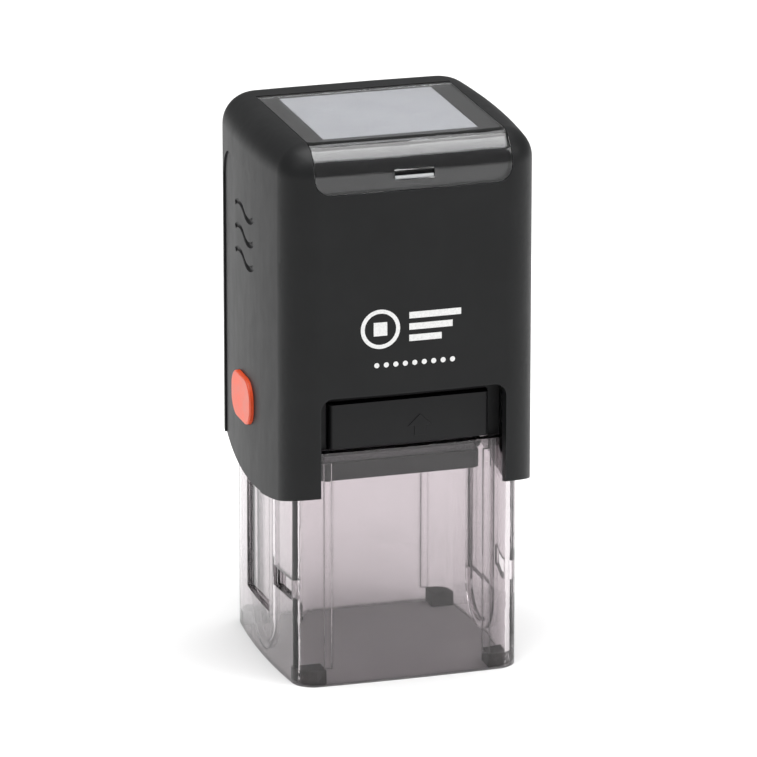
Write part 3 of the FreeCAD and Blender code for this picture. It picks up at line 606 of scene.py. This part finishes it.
class STAMP_OT_materials(StampOperator, bpy.types.Operator):
    """Make the finishes that the pieces share"""
    bl_idname = "stamp.materials"
    bl_label = "Materials"

    def execute(self, context):
        tone = self.colours
        MATERIALS["case"] = satin_black("case_black", tone.case, wear=0.8, grain_depth=0.35)
        MATERIALS["inner"] = satin_black("frame_black", tone.inner, wear=0.5, grain_depth=0.1)
        # edge paints shade on the base's edges and a highlight on the window's edges
        MATERIALS["smoke"] = smoky_clear("skirt_smoke", tone.smoke, roughness=0.035,
                                         wave=0.03 * MM, edge=0.45, gloss=0.5)
        MATERIALS["window"] = smoky_clear("window_clear", tone.window, roughness=0.03,
                                          wave=0.01 * MM, edge=1.1, gloss=0.25)
        MATERIALS["slot_highlight_paint"] = painted_slot_highlight()
        MATERIALS["button"] = button_plastic(tone.button)
        MATERIALS["card"] = card_stock(tone.card)
        MATERIALS["felt"] = inked_felt()
        MATERIALS["foam"] = cell_foam()
        MATERIALS["rubber"] = print_rubber(tone.rubber)
        MATERIALS["foot"] = foot_rubber()
        MATERIALS["print"] = white_print()
        MATERIALS["wire"] = drawn_steel("spring_steel", (0.3, 0.3, 1))
        MATERIALS["pin"] = drawn_steel("pin_steel", (0.05, 1, 1))
        materials = {"base_skirt": "smoke", "pad_frame": "inner", "ink_pad_tray": "inner",
                     "ink_pad_felt": "felt", "outer_case": "case", "yoke": "inner",
                     "index_card": "card", "return_spring": "wire", "index_window": "window",
                     "platen": "inner", "die_cushion": "foam", "rubber_die": "rubber"}
        for side in ("left", "right"):
            materials["axle_pin_" + side] = "pin"
            materials["flip_lug_" + side] = "inner"
            materials["lock_button_" + side] = "button"
            for end in ("front", "rear"):
                materials["foot_%s_%s" % (end, side)] = "foot"
        for node, finish in materials.items():
            paint(node, MATERIALS[finish])
        return {"FINISHED"}


class STAMP_OT_case(StampOperator, bpy.types.Operator):
    """Build the outer case, the yoke under its roof and the index card"""
    bl_idname = "stamp.case"
    bl_label = "Case"

    def execute(self, context):
        rounding = self.sizes.edge_round
        shell = moulded_copy("outer_case", "case_shell", MATERIALS["case"], rounding)
        attach(shell, "case", "case_black", "outer_case")
        bridge = moulded_copy("yoke", "yoke_frame", MATERIALS["inner"], rounding)
        attach(bridge, "case", "frame_black", "yoke")
        card = moulded_copy("index_card", "card_sheet", MATERIALS["card"], CARD_ROUND, steps=1)
        attach(card, "case", "card", "index_card")
        return {"FINISHED"}


def bent_to_front(mesh, lift):
    """Lay a flat mesh, drawn in X and Z, on the bowed front of the case."""
    front = frame_box("outer_case")[0].y
    sizes = bpy.context.scene.stamp_sizes
    half = sizes.case_width / 2
    radius = (half ** 2 + sizes.front_bow ** 2) / (2 * sizes.front_bow)
    for vertex in mesh.vertices:
        sag = radius - math.sqrt(radius ** 2 - vertex.co.x ** 2)
        vertex.co.y += front + sag - lift
    return mesh


def raised_plates(name, outlines, thickness):
    """Thin closed plates that face the front, from outlines in millimetres."""
    work = bmesh.new()
    for outline in outlines:
        face = work.faces.new([work.verts.new((x * MM, 0, z * MM)) for x, z in outline])
        raised = bmesh.ops.extrude_face_region(work, geom=[face])
        lifted = [item for item in raised["geom"] if isinstance(item, bmesh.types.BMVert)]
        bmesh.ops.translate(work, verts=lifted, vec=(0, -thickness, 0))
    bmesh.ops.recalc_face_normals(work, faces=work.faces)
    mesh = bpy.data.meshes.new(name)
    work.to_mesh(mesh)
    work.free()
    return mesh


def ring_outlines():
    """The emblem's flat ring as a round of short outlines, which can bend with the front."""
    outlines = []
    for index in range(RING_STEPS):
        first, second = (2 * math.pi * step / RING_STEPS for step in (index, index + 1))
        corners = ((RING_OUTER, first), (RING_OUTER, second),
                   (RING_INNER, second), (RING_INNER, first))
        outlines.append([(EMBLEM_X + radius * math.cos(angle), EMBLEM_Z + radius * math.sin(angle))
                         for radius, angle in corners])
    return outlines


def bar_outlines():
    """The three bars beside the emblem, each as narrow strips, which can bend with the front."""
    outlines = []
    for row, end in enumerate(BAR_ENDS):
        top = BAR_TOP - BAR_PITCH * row
        foot = top - BAR_HEIGHT
        for step in range(BAR_STRIPS):
            start, stop = (BAR_START + (end - BAR_START) * part / BAR_STRIPS
                           for part in (step, step + 1))
            outlines.append([(start, foot), (stop, foot), (stop, top), (start, top)])
    return outlines


class STAMP_OT_front_mark(StampOperator, bpy.types.Operator):
    """Print a plain mark on the front: a ring with a square, three bars and a row of dots"""
    bl_idname = "stamp.front_mark"
    bl_label = "Front mark"

    def execute(self, context):
        square = [(EMBLEM_X + x * SQUARE_HALF, EMBLEM_Z + z * SQUARE_HALF)
                  for x, z in ((-1, -1), (1, -1), (1, 1), (-1, 1))]
        outlines = ring_outlines() + [square] + bar_outlines()
        plates = raised_plates("front_mark", outlines, PRINT_THICKNESS)
        mark = new_piece("front_mark", bent_to_front(plates, PRINT_LIFT), MATERIALS["print"])
        attach(mark, "case", "case_black")
        row = grown_mesh("mark_dots", dot_row_tree(MATERIALS["print"]), {
            "Dot Radius": DOT_RADIUS, "Thickness": PRINT_THICKNESS, "Pitch": DOT_PITCH,
            "Count": self.sizes.mark_dots, "Start": DOT_START})
        dots = new_piece("mark_dots", bent_to_front(row, DOT_LIFT), MATERIALS["print"])
        attach(dots, "case", "case_black")
        return {"FINISHED"}


class STAMP_OT_window(StampOperator, bpy.types.Operator):
    """Build the clear index window with its front tab"""
    bl_idname = "stamp.window"
    bl_label = "Index window"

    def execute(self, context):
        cover = moulded_copy("index_window", "window_cover", MATERIALS["window"],
                             self.sizes.fine_edge_round)
        attach(cover, "window", "window_smoke", "index_window")
        # A grey bar in the pry slot, as a painted highlight on the slot's lower edge
        low = frame_box("index_window")[0]
        bar = grown_mesh("slot_highlight_bar", round_bar_tree(MATERIALS["slot_highlight_paint"]), {
            "Length": HIGHLIGHT_BAR_LENGTH, "Bar Radius": HIGHLIGHT_BAR_RADIUS,
            "Middle": (0, low.y + HIGHLIGHT_BAR_INSET, low.z + HIGHLIGHT_BAR_RISE)})
        highlight_bar = new_piece("slot_highlight_bar", bar, MATERIALS["slot_highlight_paint"])
        attach(highlight_bar, "window", "window_smoke")
        return {"FINISHED"}


class STAMP_OT_buttons(StampOperator, bpy.types.Operator):
    """Build the two lock buttons"""
    bl_idname = "stamp.buttons"
    bl_label = "Lock buttons"

    def execute(self, context):
        for side in ("left", "right"):
            node = "lock_button_" + side
            cap = moulded_copy(node, "button_cap_" + side, MATERIALS["button"],
                               BUTTON_ROUNDING * self.sizes.edge_round, steps=3)
            attach(cap, "button_" + side, "button_orange", node)
        return {"FINISHED"}


class STAMP_OT_base(StampOperator, bpy.types.Operator):
    """Build the clear skirt, its corner feet and the frame of the ink pad"""
    bl_idname = "stamp.base"
    bl_label = "Base"

    def execute(self, context):
        rounding = self.sizes.edge_round
        skirt = moulded_copy("base_skirt", "skirt_shell", MATERIALS["smoke"],
                             self.sizes.fine_edge_round)
        attach(skirt, "base", "skirt_smoke", "base_skirt")
        holder = moulded_copy("pad_frame", "pad_housing", MATERIALS["inner"], rounding)
        attach(holder, "base", "frame_black", "pad_frame")
        for end in ("front", "rear"):
            for side in ("left", "right"):
                node = "foot_%s_%s" % (end, side)
                foot = moulded_copy(node, node + "_block", MATERIALS["foot"], rounding)
                attach(foot, "base", "foot_rubber", node)
        return {"FINISHED"}


class STAMP_OT_ink_pad(StampOperator, bpy.types.Operator):
    """Build the ink tray with its arrow, and the felt in it"""
    bl_idname = "stamp.ink_pad"
    bl_label = "Ink pad"

    def execute(self, context):
        tray = moulded_copy("ink_pad_tray", "tray_body", MATERIALS["inner"],
                            self.sizes.edge_round)
        attach(tray, "ink_pad", "frame_black", "ink_pad_tray")
        attach(self.arrow(), "ink_pad", "frame_black")
        low, high = frame_box("ink_pad_felt")
        felt = crowned_pad("felt_block", low, high, self.sizes.felt_crown, PAD_BULGE,
                           MATERIALS["felt"], face_down=True)
        attach(felt, "ink_pad", "pad_felt", "ink_pad_felt")
        return {"FINISHED"}

    def arrow(self):
        """A small raised arrow that shows which way the tray goes in."""
        low, high = frame_box("ink_pad_tray")
        mesh = raised_plates("tray_arrow", [ARROW_OUTLINE], ARROW_THICKNESS)
        mesh.transform(Matrix.Translation((
            ARROW_X, low.y + ARROW_SINK, low.z + ARROW_HEIGHT_SHARE * (high.z - low.z))))
        piece = new_piece("tray_arrow", mesh, MATERIALS["inner"])
        bevel = piece.modifiers.new("edge_rounding", "BEVEL")
        bevel.width = ARROW_ROUND
        bevel.segments = 2
        return piece


class STAMP_OT_print_unit(StampOperator, bpy.types.Operator):
    """Build the platen with its pins and lugs, the foam and the rubber"""
    bl_idname = "stamp.print_unit"
    bl_label = "Print unit"

    def execute(self, context):
        fine = self.sizes.fine_edge_round
        plate = moulded_copy("platen", "platen_plate", MATERIALS["inner"],
                             PLATEN_ROUNDING * self.sizes.edge_round)
        attach(plate, "print_unit", "frame_black", "platen")
        low, high = frame_box("die_cushion")
        foam = crowned_pad("foam_sheet", low, high, 0.0, PAD_BULGE, MATERIALS["foam"],
                           face_down=False)
        attach(foam, "print_unit", "foam", "die_cushion")
        face = moulded_copy("rubber_die", "rubber_face", MATERIALS["rubber"], fine)
        attach(face, "print_unit", "die_rubber", "rubber_die")
        for side in ("left", "right"):
            pin = moulded_copy("axle_pin_" + side, "pin_" + side, MATERIALS["pin"],
                               PIN_ROUNDING * fine)
            attach(pin, "print_unit", "steel", "axle_pin_" + side)
            lug = moulded_copy("flip_lug_" + side, "lug_" + side, MATERIALS["inner"], fine)
            attach(lug, "print_unit", "frame_black", "flip_lug_" + side)
        return {"FINISHED"}


class STAMP_OT_spring(StampOperator, bpy.types.Operator):
    """Wind the return spring"""
    bl_idname = "stamp.spring"
    bl_label = "Return spring"

    def execute(self, context):
        low, high = frame_box("return_spring")
        wire = self.sizes.wire_radius
        radius = (high.x - low.x) / 2 - wire
        length = high.z - low.z
        mesh = grown_mesh("spring_coil", coil_tree(MATERIALS["wire"]), {
            "Coil Radius": radius, "Wire Radius": wire, "Height": length - 2 * wire,
            "Turns": self.sizes.spring_turns})
        for vertex in mesh.vertices:
            vertex.co.z += low.z + wire
        coil = new_piece("spring_coil", mesh, MATERIALS["wire"])
        attach(coil, "case", "steel", "return_spring")
        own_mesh(coil)
        return {"FINISHED"}


class STAMP_OT_stage(StampOperator, bpy.types.Operator):
    """Set up the pale floor, the soft lights and the camera"""
    bl_idname = "stamp.stage"
    bl_label = "Stage"

    def execute(self, context):
        work = bmesh.new()
        bmesh.ops.create_grid(work, x_segments=1, y_segments=1, size=FLOOR_HALF)
        mesh = bpy.data.meshes.new("floor")
        work.to_mesh(mesh)
        work.free()
        floor = new_piece("floor", mesh, studio_paper())
        world = bpy.data.worlds.new("studio_air")
        world.use_nodes = True
        air = world.node_tree.nodes["Background"]
        air.inputs["Color"].default_value = (1.0, 1.0, 1.0, 1.0)
        air.inputs["Strength"].default_value = AIR_STRENGTH
        context.scene.world = world
        context.scene.view_settings.view_transform = "Standard"
        for name, place, size, power in LIGHTS:
            lamp = bpy.data.lights.new(name, "AREA")
            lamp.size = size
            lamp.energy = power
            light = bpy.data.objects.new(name, lamp)
            context.scene.collection.objects.link(light)
            light.location = place
            light.rotation_mode = "QUATERNION"
            light.rotation_quaternion = (TARGET - Vector(place)).to_track_quat("-Z", "Y")
        self.camera(context)
        return {"FINISHED"}

    def camera(self, context):
        level = math.cos(ELEVATION)
        back = Vector((math.sin(AZIMUTH) * level, -math.cos(AZIMUTH) * level,
                       math.sin(ELEVATION)))
        lens = bpy.data.cameras.new("camera")
        lens.lens = LENS
        lens.sensor_width = SENSOR_WIDTH
        lens.shift_x = SHIFT_X
        lens.shift_y = SHIFT_Y
        lens.clip_start = CLIP_START
        camera = bpy.data.objects.new("camera", lens)
        context.scene.collection.objects.link(camera)
        camera.location = TARGET + back * CAMERA_DISTANCE
        camera.rotation_mode = "QUATERNION"
        camera.rotation_quaternion = (-back).to_track_quat("-Z", "Y")
        context.scene.camera = camera


class STAMP_PT_panel(bpy.types.Panel):
    """Lists the builders of the stamp's pieces"""
    bl_idname = "STAMP_PT_panel"
    bl_label = "Self-Inking Stamp"
    bl_space_type = "VIEW_3D"
    bl_region_type = "UI"
    bl_category = "Stamp"

    def draw(self, context):
        for group in (context.scene.stamp_sizes, context.scene.stamp_colours):
            for name in group.bl_rna.properties.keys():
                if name not in ("rna_type", "name"):
                    self.layout.prop(group, name)
        for builder in BUILDERS:
            self.layout.operator(builder.bl_idname)


BUILDERS = (STAMP_OT_materials, STAMP_OT_stage, STAMP_OT_case, STAMP_OT_front_mark,
            STAMP_OT_window, STAMP_OT_buttons, STAMP_OT_base, STAMP_OT_ink_pad,
            STAMP_OT_print_unit, STAMP_OT_spring)
CLASSES = (StampSizes, StampColours) + BUILDERS + (STAMP_PT_panel,)


def register():
    for item in CLASSES:
        bpy.utils.register_class(item)
    bpy.types.Scene.stamp_sizes = PointerProperty(type=StampSizes)
    bpy.types.Scene.stamp_colours = PointerProperty(type=StampColours)


def unregister():
    del bpy.types.Scene.stamp_colours
    del bpy.types.Scene.stamp_sizes
    for item in reversed(CLASSES):
        bpy.utils.unregister_class(item)


def main():
    register()
    for builder in BUILDERS:
        family, name = builder.bl_idname.split(".")
        getattr(getattr(bpy.ops, family), name)()


if __name__ == "__main__":
    main()
